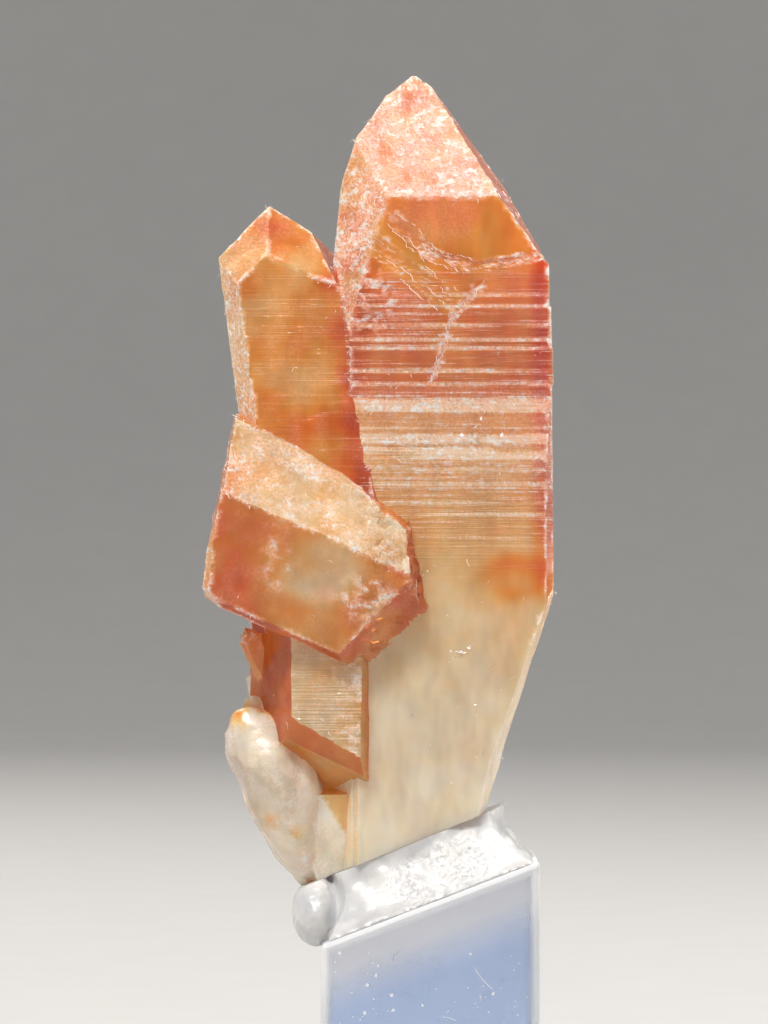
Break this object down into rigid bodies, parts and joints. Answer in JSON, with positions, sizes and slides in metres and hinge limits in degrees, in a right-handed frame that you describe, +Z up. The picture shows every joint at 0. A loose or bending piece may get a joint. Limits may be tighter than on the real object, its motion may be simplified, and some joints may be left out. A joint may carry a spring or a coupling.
{
  "type": "quartz crystal cluster on clear bar",
  "caption": "Upright cluster of intergrown orange quartz points with a milky base, glued on a clear square bar with a slanted top.",
  "frame": {"origin": "middle of the clear bar's underside, on the surface that it stands on", "axes": "+Z up along the tall crystal, -Y towards the face that the picture shows, +X to its right"},
  "size_m": [0.0243, 0.015, 0.0746],
  "materials": {
    "quartz": "orange iron-stained quartz, frosted tips, milky pale base",
    "glue": "whitish translucent glue with a wrinkled skin",
    "acrylic": "clear cast plastic, sawn faces slightly hazy"
  },
  "bodies": {
    "root": {"crystal_cluster": "quartz", "glue_pad": "glue", "clear_bar": "acrylic"}
  },
  "joints": []
}
